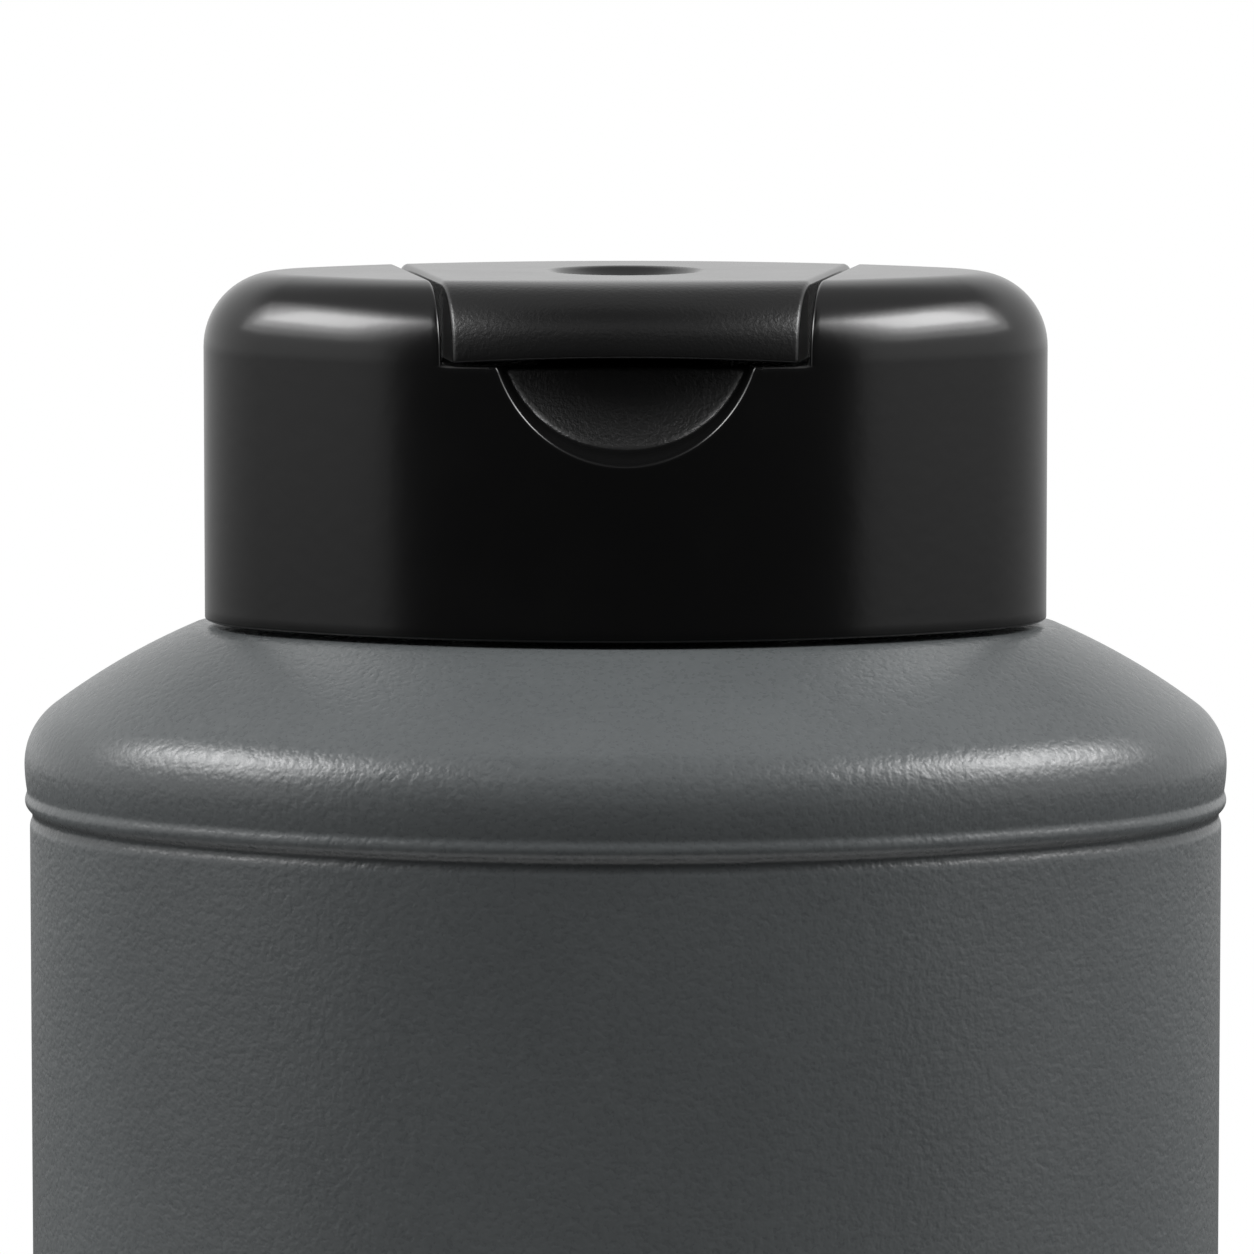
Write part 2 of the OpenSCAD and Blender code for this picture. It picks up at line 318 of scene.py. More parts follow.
@dataclass
class Bottle:
    """Blown bottle: oval body, label panel between two beads, shoulder, seat and round neck."""

    columns: int = 320
    soften: float = 0.16
    width: float = 85.8
    shoulder_r: float = 49.0
    shoulder_round: float = 5.0
    shoulder_drop: float = 9.8
    seat_z: float = 142.8
    waist_r: float = 11.0
    waist_drop: float = 2.05
    bead_drop: float = 2.6
    bead_r: float = 0.8
    bead_start_deg: float = 38.0
    groove_r: float = 0.6
    panel_edge_r: float = 0.4
    panel_run: float = 2.0
    foot_bead_z: float = 12.0
    heel_r: float = 6.0
    foot_w: float = 2.4
    base_rise: float = 2.4
    base_slope: float = 0.8
    base_flat: float = 4.0
    floor_end: float = 1.0
    wall: float = 1.3
    neck_r: float = 10.8
    bore_r: float = 8.8
    lip: float = 0.4
    neck_top_z: float = 160.8
    snap_z: float = 150.8
    snap_half: float = 0.9
    snap_proud: float = 0.6

    @property
    def offset(self) -> float:
        """Offset of the widest oval."""
        return self.width / 2 - OVAL.end_x

    @property
    def wide_z(self) -> float:
        """Height of the shoulder's widest point."""
        return self.seat_z - self.shoulder_drop

    def shoulder_centres(self) -> tuple[Array, Array]:
        """Centres of the shoulder's roundover and of the broad arc that is tangent to it."""
        edge = np.array([self.offset - self.shoulder_round, self.wide_z])
        return edge, edge - (self.shoulder_r - self.shoulder_round) * JOIN

    def bead_rows(self) -> Array:
        """Profile from the widest point down over the bead and the groove to the panel's edge.

        Four arcs in a row: the waist, the bead's crown, the groove and the panel's edge,
        the last three tangent to each other on 3-4-5 directions, all softened as blowing does.

        Returns:
            Offset and height, one point a row.
        """
        u = self.offset
        bead = np.array([u - self.bead_r, self.wide_z - self.bead_drop])
        groove = bead + (self.bead_r + self.groove_r) * (JOIN * [1.0, -1.0])
        panel = groove - (self.groove_r + self.panel_edge_r) * JOIN[::-1]
        dip = math.degrees(math.asin(self.waist_drop / self.waist_r))
        return softened(np.concatenate([
            arc([u - self.waist_r, self.wide_z], self.waist_r, 0.0, -dip, 24),
            arc(bead, self.bead_r, self.bead_start_deg, -JOIN_DEG, 24),
            arc(groove, self.groove_r, 180.0 - JOIN_DEG, 270.0 - JOIN_DEG, 24)[1:],
            arc(panel, self.panel_edge_r, 90.0 - JOIN_DEG, 0.0, 12)[1:],
            [[panel[0] + self.panel_edge_r, panel[1] - self.panel_run]],
        ]), self.soften)

    def outer_rows(self) -> Array:
        """Outer profile from the middle of the base up to the seat's edge, of lines and arcs.

        Returns:
            Offset and height, one point a row.
        """
        edge, hill = self.shoulder_centres()
        foot_u = self.offset - self.heel_r
        ring_u = foot_u - self.foot_w
        base_u = ring_u - self.base_rise * self.base_slope
        upper = self.bead_rows()
        mid_z = (self.wide_z - self.bead_drop + self.foot_bead_z) / 2
        lower = upper * [1.0, -1.0] + [0.0, 2 * mid_z]
        stop = math.degrees(math.asin((self.seat_z - hill[1]) / self.shoulder_r))
        return np.concatenate([
            line([base_u - self.base_flat, self.base_rise], [base_u, self.base_rise], 5),
            line([ring_u, 0.0], [foot_u, 0.0], 4),
            arc([foot_u, self.heel_r], self.heel_r, -90.0, 0.0, 14)[1:],
            lower,
            line(lower[-1], upper[-1], 24)[1:],
            upper[::-1][1:],
            arc(edge, self.shoulder_round, 0.0, JOIN_DEG, 16)[1:],
            arc(hill, self.shoulder_r, JOIN_DEG, stop, 16)[1:],
        ])

    def inner_rows(self) -> Array:
        """Profile of the hollow, from under the seat down to the middle of the floor.

        Returns:
            Offset and height, one point a row.
        """
        edge, hill = self.shoulder_centres()
        side_u, foot_u = self.offset - self.wall, self.offset - self.heel_r
        ring_u = foot_u - self.foot_w + self.wall * 0.5
        base_u = ring_u - self.base_rise * self.base_slope
        floor_z = self.base_rise + self.wall
        r = self.shoulder_r - self.wall
        stop = math.degrees(math.asin((self.seat_z - self.wall - hill[1]) / r))
        return np.concatenate([
            arc(hill, r, stop, JOIN_DEG, 10),
            arc(edge, self.shoulder_round - self.wall, JOIN_DEG, 0.0, 8)[1:],
            line([side_u, self.wide_z], [side_u, self.heel_r], 12)[1:],
            arc([foot_u, self.heel_r], self.heel_r - self.wall, 0.0, -90.0, 8)[1:],
            line([ring_u, self.wall], [base_u, floor_z], 4),
            line([base_u, floor_z], [self.floor_end, floor_z], 4)[1:],
        ])

    def neck_rows(self) -> Array:
        """Profile of the neck, from the seat up over the snap bead and the mouth and down the bore.

        Returns:
            Radius and height, one point a row.
        """
        r, proud, half = self.neck_r, self.snap_proud, self.snap_half
        return np.array([
            [r, self.seat_z], [r, self.snap_z - half], [r + proud, self.snap_z - half / 2],
            [r + proud, self.snap_z], [r, self.snap_z + half], [r, self.neck_top_z - self.lip],
            [r - self.lip, self.neck_top_z], [self.bore_r + self.lip, self.neck_top_z],
            [self.bore_r, self.neck_top_z - self.lip], [self.bore_r, self.seat_z - self.wall],
        ])

    def build(self) -> bpy.types.Object:
        """Sweep the profiles round the oval and the neck, and close base and floor.

        Returns:
            The bottle as one closed shell.
        """
        phi = OVAL.angles(0.0, 2 * math.pi, self.columns + 1, self.offset)[:-1]
        skin, hollow = OVAL.sweep(phi, self.outer_rows()), OVAL.sweep(phi, self.inner_rows())
        tube = ring(self.neck_rows(), np.arctan2(skin[-1, :, 1], skin[-1, :, 0]))
        base = np.zeros((1, self.columns, 3)) + [0.0, 0.0, self.base_rise]
        floor = base + [0.0, 0.0, self.wall]
        shell = Shell()
        shell.grid(np.concatenate([base, skin, tube, hollow, floor]), closed=True)
        return shell.build("bottle_body")

    def dress(self, piece: bpy.types.Object) -> None:
        """Give the bottle its grey polyethylene."""
        wear(piece, BottlePlastic().build())


@dataclass(frozen=True)
class CapForm:
    """Skin of the closed cap: oval wall, rounded top edge and the flared slot of the lid."""

    width: float = 60.0
    top: float = 168.0
    round_r: float = 5.3
    skirt_z: float = 143.25
    skirt_edge_r: float = 0.22
    wall: float = 1.3
    slot_w: float = 24.8
    flare: float = 0.1675
    deck_z: float = 162.4
    spout_y: float = 1.2

    @property
    def offset(self) -> float:
        """Offset of the wall's oval."""
        return self.width / 2 - OVAL.end_x

    @property
    def half_depth(self) -> float:
        """Distance from the middle to the front."""
        return self.width / 2 - OVAL.stretch

    @property
    def arc_z(self) -> float:
        """Height at which the top edge starts to round over."""
        return self.top - self.round_r

    @property
    def lean(self) -> Array:
        """Unit vector square to the slot's right wall, away from the lid."""
        return np.array([1.0, -self.flare, 0.0]) / math.hypot(1.0, self.flare)

    def edge(self, inset: float, tilt: Array) -> tuple[Array, Array]:
        """Offset and height on the rounded edge, inset by a wall, where the skin tilts up by an angle."""
        r = self.round_r - inset
        return self.offset - self.round_r + r * np.cos(tilt), self.arc_z + r * np.sin(tilt)

    def beyond(self, x: Array, y: Array, grow: float) -> Array:
        """Distance outside the slot's right wall, moved out by grow."""
        out = x - self.slot_w / 2 - self.flare * (y + self.half_depth) - grow
        return out / math.hypot(1.0, self.flare)

    def meet(self, u: Array, grow: float, target: float, front: bool) -> Array:
        """Normal angle at which an oval stands a given distance outside the slot's wall.

        Found by halving the span from the middle of the front or rear to the end.

        Args:
            u: Offsets of the ovals.
            grow: How far the slot's wall is moved out.
            target: Distance wanted.
            front: Look on the front, otherwise on the rear.

        Returns:
            An angle for each offset.
        """
        near = np.full_like(u, -math.pi / 2 if front else math.pi / 2)
        far = np.zeros_like(u)
        for _ in range(50):
            middle = (near + far) / 2
            inside = self.beyond(*OVAL.point(middle, u), grow) < target
            near, far = np.where(inside, middle, near), np.where(inside, far, middle)
        return (near + far) / 2

    def normal(self, phi: Array, tilt: Array) -> Array:
        """Outward unit vector of the skin at a normal angle and a tilt."""
        phi, tilt = np.broadcast_arrays(phi, tilt)
        return np.stack([np.cos(phi) * np.cos(tilt), np.sin(phi) * np.cos(tilt), np.sin(tilt)], axis=-1)


CAP = CapForm()


@dataclass
class FlipLid:
    """Flip lid: the band of the cap's top in the slot, a dome with rounded sides and a plug below."""

    gap: float = 0.7
    base_z: float = 162.6
    arch: float = 0.45
    edge_r: float = 0.4
    inner_edge_r: float = 0.15
    rim_r: float = 0.22
    dimple_r: float = 5.4
    dimple_depth: float = 1.5
    dimple_soft: float = 0.08
    top_slack: float = 0.01
    plug_r: float = 2.8
    plug_z: float = 163.2
    plug_bevel: float = 0.3
    boss_r: float = 6.7
    boss_z: float = 165.7
    boss_bevel: float = 0.2
    boss_top_z: float = 166.85
    hollow_r: float = 5.6
    hollow_depth: float = 0.65
    hollow_bend_r: float = 2.5
    hollow_bend: float = 0.35
    hinge_y: float = 17.2
    hinge_z: float = 162.65
    hinge_r: float = 0.4
    hinge_w: float = 13.0
    hinge_bevel: float = 0.1
    columns: int = 56
    round_rows: int = 18
    top_rows: int = 100
    bend_rows: int = 8
    side_rows: int = 7
    rim_rows: int = 6

    def rise(self, x: Array) -> Array:
        """Rise of the front's lower edge: arch times one less the square of x over the half width."""
        return self.arch * np.clip(1.0 - (x / (CAP.slot_w / 2 - self.gap)) ** 2, 0.0, 1.0)

    def half(self, inset: float, base_z: float, edge_r: float) -> Array:
        """Right half of the dome, inset by a wall, down to a base height.

        Rows run over the front edge, the top and the rear edge. Columns run from the
        middle to the side, round a ball-rolled edge of radius edge_r and down the side.
        The ball's centre is the skin inset by edge_r, where it stands edge_r inside the side.

        Args:
            inset: Distance inside the outer skin.
            base_z: Height of the lower edge.
            edge_r: Radius of the side's edge.

        Returns:
            Rows by columns by three.
        """
        r, grow = CAP.round_r - inset, -self.gap - inset
        share = np.linspace(0.0, 1.0, self.round_rows)[:, None]
        across = np.linspace(0.0, 1.0, self.columns)[None, :]
        down = np.linspace(0.0, 1.0, self.side_rows)[None, 1:, None]
        parts = []
        for front in (True, False):
            low = math.asin((base_z - CAP.arc_z) / r)
            tilt = low + (math.pi / 2 - low) * share
            side = CAP.meet(CAP.edge(inset + edge_r, tilt)[0], grow, -edge_r, front)
            middle = -math.pi / 2 if front else math.pi / 2
            phi = middle + across * (side - middle)
            x, _ = OVAL.point(phi, CAP.edge(inset, tilt)[0])
            rise = self.rise(x) if front else np.zeros_like(x)
            low = np.arcsin((base_z + rise - CAP.arc_z) / r)
            tilt = low + (math.pi / 2 - low) * share
            u, z = CAP.edge(inset, tilt)
            skin = np.stack([*OVAL.point(phi, u), z], axis=-1)
            normal = CAP.normal(phi, tilt)[:, -1]
            ball = skin[:, -1] - edge_r * normal
            bend = ball[:, None] + edge_r * turn(normal, CAP.lean, self.bend_rows)
            foot = bend[:, -1:] * [1.0, 1.0, 0.0] + [0.0, 0.0, base_z]
            wall = bend[:, -1:] * (1.0 - down) + foot * down
            band = np.concatenate([skin, bend[:, 1:], wall], axis=1)
            parts.append(band if front else band[::-1])
        step = np.linspace(0.0, 1.0, self.top_rows)[1:-1, None, None]
        top = parts[0][-1] * (1.0 - step) + parts[1][0] * step
        return np.concatenate([parts[0], top, parts[1]])

    def dome(self, inset: float, base_z: float, edge_r: float) -> Array:
        """Both halves of the dome side by side."""
        half = self.half(inset, base_z, edge_r)
        return np.concatenate([half[:, :0:-1] * [-1.0, 1.0, 1.0], half], axis=1)

    @staticmethod
    def border(grid: Array) -> Array:
        """Outer loop of a grid, round from its first corner."""
        return np.concatenate([grid[0], grid[1:, -1], grid[-1, -2::-1], grid[-2:0:-1, 0]])

    def dimpled(self, dome: Array) -> Array:
        """Press the finger dimple, a shallow ball with a soft edge, into the flat top.

        The depth is the root of the ball's radius squared less the distance squared, less
        the height of the ball's centre over the top, and no less than zero.

        Args:
            dome: Grid of the lid's skin.

        Returns:
            The grid with the dimple.
        """
        ball = (self.dimple_r ** 2 + self.dimple_depth ** 2) / (2 * self.dimple_depth)
        r = np.hypot(dome[..., 0], dome[..., 1] - CAP.spout_y)
        depth = np.sqrt(np.maximum(ball ** 2 - r ** 2, 0.0)) - ball + self.dimple_depth
        depth = soft_max(depth, np.zeros_like(depth), self.dimple_soft)
        depth = np.where(dome[..., 2] > CAP.top - self.top_slack, depth, 0.0)
        return dome - depth[..., None] * [0.0, 0.0, 1.0]

    def plug_rows(self) -> Array:
        """Profile of the plug and the boss that carries it, hollowed on top to clear the dimple.

        Returns:
            Radius and height, one point a row.
        """
        r, low, boss, under, top = self.plug_r, self.plug_z, self.boss_r, self.boss_z, self.boss_top_z
        return np.array([
            [0.0, low], [r - self.plug_bevel, low], [r, low + self.plug_bevel], [r, under],
            [boss - self.boss_bevel, under], [boss, under + self.boss_bevel],
            [boss, top], [self.hollow_r, top], [self.hollow_bend_r, top - self.hollow_bend],
            [0.0, top - self.hollow_depth],
        ])

    def web(self) -> Array:
        """Hinge web: a bevelled rod along X, its radius times (cos, sin) of the spin about the axis.

        Returns:
            Rows by columns by three.
        """
        end, r, bevel = self.hinge_w / 2, self.hinge_r, self.hinge_bevel
        spin = full_turn(24)
        x = np.array([-end, -end, bevel - end, end - bevel, end, end])[:, None]
        radius = np.array([0.0, r - bevel, r, r, r - bevel, 0.0])[:, None]
        y, z = self.hinge_y + radius * np.cos(spin), self.hinge_z + radius * np.sin(spin)
        return np.stack([x + 0.0 * spin, y, z], axis=-1)

    def build(self) -> bpy.types.Object:
        """Join the dome, its rounded lower rim, the inside, the plug and the hinge's web.

        Returns:
            The lid.
        """
        shell = Shell()
        shell.grid(self.dimpled(self.dome(0.0, self.base_z + self.rim_r, self.edge_r)))
        quarter = np.radians(np.linspace(0.0, 90.0, self.rim_rows))
        insets = [*(self.rim_r * (1.0 - np.cos(quarter))), CAP.wall]
        heights = [*(self.base_z + self.rim_r * (1.0 - np.sin(quarter))), self.base_z]
        domes = [self.dome(i, z, max(self.edge_r - i, self.inner_edge_r)) for i, z in zip(insets, heights)]
        shell.grid(np.stack([self.border(dome) for dome in domes]), closed=True, flip=True)
        shell.grid(domes[-1], flip=True)
        shell.grid(ring(self.plug_rows(), full_turn(96), CAP.spout_y), closed=True)
        shell.grid(self.web(), closed=True)
        return shell.build("lid_shell")

    def dress(self, piece: bpy.types.Object) -> None:
        """Give the lid its black polypropylene, with the texture of its front."""
        wear(piece, CapPlastic(name="black_polypropylene_lid", lid_texture=1.0).build())


@dataclass
class CapBase:
    """Cap base: skirt, two cheeks, thumb recess, deck with the spout, and the sleeve inside."""

    edge_r: float = 0.25
    cut_z: float = 153.5
    recess_r: float = 9.8
    recess_z: float = 165.4
    recess_depth: float = 3.5
    dish_r: float = 25.0
    dish_reach: float = 20.0
    draft: float = 0.38
    rim_reach: float = 0.6
    rim_band: float = 2.6
    rim_soft: float = 0.5
    floor_soft: float = 1.5
    roll_r: float = 0.22
    roll_steps: tuple[float, ...] = (0.75, 0.5, 0.3, 0.15, 0.05, 0.0)
    roll_fade: float = 0.6
    spout_r: float = 5.5
    spout_h: float = 2.4
    spout_foot: float = 0.3
    spout_taper: float = 0.7
    mouth_bevel: float = 0.2
    orifice_r: float = 3.2
    deck_under: float = 161.1
    deck_steps: tuple[float, ...] = (0.02, 0.06, 0.3, 0.65)
    least_turn: float = 0.0002
    liner_front_y: float = -8.0
    liner_half: float = 14.0
    root_z: float = 161.4
    sleeve_r: float = 11.6
    sleeve_z: float = 145.4
    snap_r: float = 11.0
    snap_top_z: float = 149.6
    snap_half: float = 0.9
    seal_r: float = 8.6
    seal_wall: float = 1.0
    seal_z: float = 158.1
    border_rows: int = 16
    bend_rows: int = 8

    def floor_y(self, x: Array, z: Array) -> Array:
        """Depth of the thumb recess: the lesser of a drafted rim and a dished floor, blended.

        The rim is a cone about the recess's axis and the floor a ball of radius dish_r.

        Args:
            x: X of the points.
            z: Height of the points.

        Returns:
            Y of the recess.
        """
        r = np.hypot(x, z - self.recess_z)
        rim = -CAP.half_depth + (self.recess_r - r) / self.draft
        bowl = np.sqrt(self.dish_r ** 2 - np.minimum(r, self.dish_reach) ** 2)
        dish = self.recess_depth - CAP.half_depth - self.dish_r + bowl
        return -soft_max(-rim, -dish, self.floor_soft)

    def front_panel(self, phi: Array, heights: Array) -> Array:
        """Right half of the front round the thumb recess, as a height field over X and Z.

        Lines run from the panel's border to a ring round the recess, then on towards the
        recess's axis, and stop at the deck. Y is the greater of the wall and the recess.

        Args:
            phi: Normal angles of the panel's foot, from the middle outwards.
            heights: Heights of the panel's side, from the foot up to the deck.

        Returns:
            Rows from the border inwards, columns from the deck round to the middle.
        """
        foot_x, _ = OVAL.point(phi, np.full_like(phi, CAP.offset))
        border_x = np.concatenate([np.full(len(heights), foot_x[-1]), foot_x[-2::-1]])
        border_z = np.concatenate([heights[::-1], np.full(len(phi) - 1, self.cut_z)])
        bearing = np.arctan2(border_z - self.recess_z, border_x)
        share = (bearing - bearing[0]) / (-math.pi / 2 - bearing[0])
        rim_r, drop = self.recess_r + self.rim_reach, self.recess_z - CAP.deck_z
        first = -math.asin(drop / rim_r)
        bearing = first + share * (-math.pi / 2 - first)
        rim_x, rim_z = rim_r * np.cos(bearing), self.recess_z + rim_r * np.sin(bearing)
        step = np.linspace(0.0, 1.0, self.border_rows)[:, None]
        band_r = rim_r - self.rim_band
        radii = np.concatenate([np.linspace(rim_r, band_r, 40)[1:], np.linspace(band_r, drop, 18)[1:]])
        radii = np.maximum(radii[:, None], drop / -np.sin(bearing))
        x = np.concatenate([border_x * (1.0 - step) + rim_x * step, radii * np.cos(bearing)])
        z = np.concatenate([border_z * (1.0 - step) + rim_z * step,
                            self.recess_z + radii * np.sin(bearing)])
        x[:, -1] = 0.0
        wall = OVAL.side_y - np.sqrt((OVAL.side_r + CAP.offset) ** 2 - x ** 2)
        y = soft_max(wall, self.floor_y(x, z), self.rim_soft)
        lift = np.clip((z - CAP.deck_z + self.roll_r) / self.roll_r, 0.0, 1.0)
        fade = np.clip((foot_x[-1] - x) / self.roll_fade, 0.0, 1.0)
        roll = self.roll_r * (1.0 - np.sqrt(1.0 - lift ** 2)) * fade
        return np.stack([x, y + roll, z], axis=-1)

    def skirt_rows(self) -> Array:
        """Outer profile of the skirt: its rounded lower edge, then the wall up to the cut.

        Returns:
            Offset and height, one point a row.
        """
        u, r = CAP.offset, CAP.skirt_edge_r
        lower = arc([u - r, CAP.skirt_z + r], r, -90.0, 0.0, 8)
        return np.concatenate([lower, line([u, CAP.skirt_z + r], [u, self.cut_z], 16)[1:]])

    def cheeks(self, shell: Shell, foot_phi: Array) -> Array:
        """Add both cheeks: the skin, its flat top, the edge rolled over by a ball, and the slot's wall.

        Args:
            shell: Shell that takes the grids.
            foot_phi: Normal angles of the right cheek's foot, from the front to the rear.

        Returns:
            Right wall of the slot: rows along its edge, columns over the edge and down to the deck.
        """
        tilt = np.concatenate([[0.0], np.linspace(0.0, math.pi / 2, 20)])[:, None]
        ball_u, _ = CAP.edge(self.edge_r, tilt)
        ahead, behind = (CAP.meet(ball_u, 0.0, self.edge_r, front) for front in (True, False))
        share = (foot_phi - foot_phi[0]) / (foot_phi[-1] - foot_phi[0])
        phi = ahead + share * (behind - ahead)
        skin_u, skin_z = CAP.edge(0.0, tilt)
        skin_z[0] = CAP.deck_z
        skin = np.stack([*OVAL.point(phi, skin_u), skin_z + 0.0 * phi], axis=-1)
        shell.mirrored(skin)
        ridge = skin[-1]
        chord = ridge[-1] - ridge[0]
        along = np.clip(((ridge - ridge[0]) @ chord) / (chord @ chord), 0.0, 1.0)[:, None]
        seam = ridge[0] + along * chord
        step = np.linspace(0.0, 1.0, 10)[:, None, None]
        shell.mirrored(ridge * (1.0 - step) + seam * step)

        normal = CAP.normal(phi, tilt)
        edge = np.concatenate([skin[:, 0], seam[1:-1], skin[::-1, -1]])
        upright = np.broadcast_to([0.0, 0.0, 1.0], seam[1:-1].shape)
        outward = np.concatenate([normal[:, 0], upright, normal[::-1, -1]])
        ball = (edge - self.edge_r * outward)[:, None]
        bend = ball + self.edge_r * turn(outward, -CAP.lean, self.bend_rows)
        down = np.linspace(0.0, 1.0, 9)[None, 1:, None]
        foot = bend[:, -1:] * [1.0, 1.0, 0.0] + [0.0, 0.0, CAP.deck_z]
        slot = np.concatenate([bend, bend[:, -1:] * (1.0 - down) + foot * down], axis=1)
        shell.mirrored(slot, flip=True)
        return slot

    def nozzle_rows(self) -> Array:
        """Profile of the spout, from its foot on the deck over the mouth and down the orifice.

        Returns:
            Radius and height, one point a row.
        """
        r, bore, foot, low = self.spout_r, self.orifice_r, self.spout_foot, CAP.deck_z
        top = low + self.spout_h
        return np.array([
            [r + foot, low], [r + 0.3 * foot, low + 0.3 * foot], [r, low + foot],
            [r, low + self.spout_h / 2], [r - self.spout_taper, top - self.mouth_bevel / 2],
            [r - self.spout_taper - 0.75 * self.mouth_bevel, top], [bore + self.mouth_bevel, top],
            [bore, top - self.mouth_bevel], [bore, self.deck_under],
        ])

    def deck(self, shell: Shell, loop: Array) -> tuple[Array, Array]:
        """Add the deck and the spout as lines from the deck's border to the spout's axis.

        The lines' bearings always turn on by a least amount, so that no line crosses another.

        Args:
            shell: Shell that takes the grid.
            loop: Border of the deck's right half, from the middle of the front to the rear's.

        Returns:
            Bearings of the lines, and the lower ring of the orifice.
        """
        hub = np.array([0.0, CAP.spout_y, 0.0])
        least = self.least_turn * np.arange(len(loop))
        bearing = np.arctan2(loop[:, 1] - CAP.spout_y, loop[:, 0])
        bearing = np.maximum.accumulate(bearing - least) + least
        bearing[[0, -1]] = -math.pi / 2, math.pi / 2
        spoke = np.stack([np.cos(bearing), np.sin(bearing), 0.0 * bearing], axis=-1)
        spoke[[0, -1], 0] = 0.0
        nozzle = self.nozzle_rows()
        tube = hub + nozzle[:, :1, None] * spoke + nozzle[:, 1:, None] * [0.0, 0.0, 1.0]
        reach = np.hypot(loop[:, 0], loop[:, 1] - CAP.spout_y)[:, None]
        even = hub + reach * spoke + [0.0, 0.0, CAP.deck_z]
        step = np.array(self.deck_steps)[:, None, None]
        shell.mirrored(np.concatenate([loop[None], even * (1.0 - step) + tube[0] * step, tube]))
        return bearing, tube[-1]

    def inside(self, shell: Shell, phi: Array, bearing: Array, orifice: Array) -> None:
        """Add the liner behind the wall and the recess, and the ceiling from it to the orifice.

        The ceiling's two borders have different counts: sorting all bearings tells which
        border moves on at each step, and the other one repeats its point.

        Args:
            shell: Shell that takes the grids.
            phi: Normal angles of the right half, from the front to the rear.
            bearing: Bearings of the orifice's ring.
            orifice: Points of the orifice's lower ring.
        """
        wall_u = CAP.offset - CAP.wall
        rows = np.concatenate([[[CAP.offset - CAP.skirt_edge_r, CAP.skirt_z]],
                               line([wall_u, CAP.skirt_z], [wall_u, self.deck_under], 40)])
        liner = OVAL.sweep(phi, rows)
        x, y, z = liner[..., 0], liner[..., 1], liner[..., 2]
        behind_recess = (y < self.liner_front_y) & (np.abs(x) < self.liner_half)
        liner[..., 1] = np.where(behind_recess, np.maximum(y, self.floor_y(x, z) + CAP.wall), y)
        shell.mirrored(liner, flip=True)
        around = np.maximum.accumulate(np.arctan2(liner[-1, :, 1] - CAP.spout_y, liner[-1, :, 0]))
        outer = np.argsort(np.concatenate([around[1:], bearing[1:]]), kind="stable") < len(around) - 1
        ceiling = np.stack([liner[-1, np.cumsum([0, *outer])], orifice[np.cumsum([0, *~outer])]])
        shell.mirrored(ceiling, flip=True)

    def sleeve_rows(self) -> Array:
        """Closed profile of the sleeve round the neck, with its snap ring.

        Returns:
            Radius and height, one point a row.
        """
        r, low, top, ring_z, half = self.sleeve_r, self.sleeve_z, self.root_z, self.snap_top_z, self.snap_half
        return np.array([
            [r, low], [r + CAP.wall, low], [r + CAP.wall, top], [r, top], [r, ring_z],
            [self.snap_r, ring_z - half / 2], [self.snap_r, ring_z - half], [r, ring_z - 2 * half], [r, low],
        ])

    def seal_rows(self) -> Array:
        """Closed profile of the seal ring that stands in the neck's mouth."""
        inner, r, low, top = self.seal_r - self.seal_wall, self.seal_r, self.seal_z, self.root_z
        return np.array([[inner, low], [r, low], [r, top], [inner, top], [inner, low]])

    def build(self) -> bpy.types.Object:
        """Join the skirt, front, cheeks, slot walls, deck, spout and inside.

        Returns:
            The cap base.
        """
        shell, u = Shell(), CAP.offset
        ball_u = np.array(u - self.edge_r)
        start, stop = (float(CAP.meet(ball_u, 0.0, self.edge_r, front)) for front in (True, False))
        front = OVAL.angles(-math.pi / 2, start, 61, u)
        cheek = OVAL.angles(start, stop, 141, u)
        rear = OVAL.angles(stop, math.pi / 2, 41, u)
        whole = np.concatenate([front, cheek[1:], rear[1:]])
        heights = np.concatenate([np.linspace(self.cut_z, CAP.deck_z - self.roll_r, 30),
                                  CAP.deck_z - self.roll_r * np.array(self.roll_steps)])
        high = np.stack([np.full_like(heights, u), heights], axis=-1)
        shell.mirrored(OVAL.sweep(whole, self.skirt_rows()))
        shell.mirrored(OVAL.sweep(np.concatenate([cheek, rear[1:]]), high))
        panel = self.front_panel(front, heights)
        shell.mirrored(panel, flip=True)
        slot = self.cheeks(shell, cheek)
        bend, back = slot[:, :self.bend_rows], OVAL.sweep(rear, high[-1:])[0]
        loop = np.concatenate([panel[-1, ::-1], panel[self.border_rows - 1::-1, 0], bend[0, 1:],
                               slot[1:-1, -1], bend[-1, ::-1], back[1:]])
        bearing, orifice = self.deck(shell, loop)
        self.inside(shell, whole, bearing, orifice)
        for rows in (self.sleeve_rows(), self.seal_rows()):
            shell.grid(ring(rows, full_turn(96)), closed=True)
        return shell.build("cap_shell")

    def dress(self, piece: bpy.types.Object) -> None:
        """Give the cap base its black polypropylene."""
        wear(piece, CapPlastic().build())


@dataclass
class StudioFloor:
    """Pale round floor under the bottle, in metres."""

    radius: float = 0.21
    rings: int = 9
    spokes: int = 96

    def build(self) -> bpy.types.Object:
        """Lay a flat disc of rings by spokes: radius times (cos, sin) of the bearing.

        Returns:
            The floor object.
        """
        r = np.linspace(0.0, self.radius, self.rings)
        shell = Shell()
        shell.grid(ring(np.stack([r, 0.0 * r], axis=-1) / MM, full_turn(self.spokes)), closed=True)
        return shell.build("studio_floor")

    def dress(self, piece: bpy.types.Object) -> None:
        """Give the floor its pale finish."""
        wear(piece, FloorFinish().build())


Value = Union[float, "Wire"]


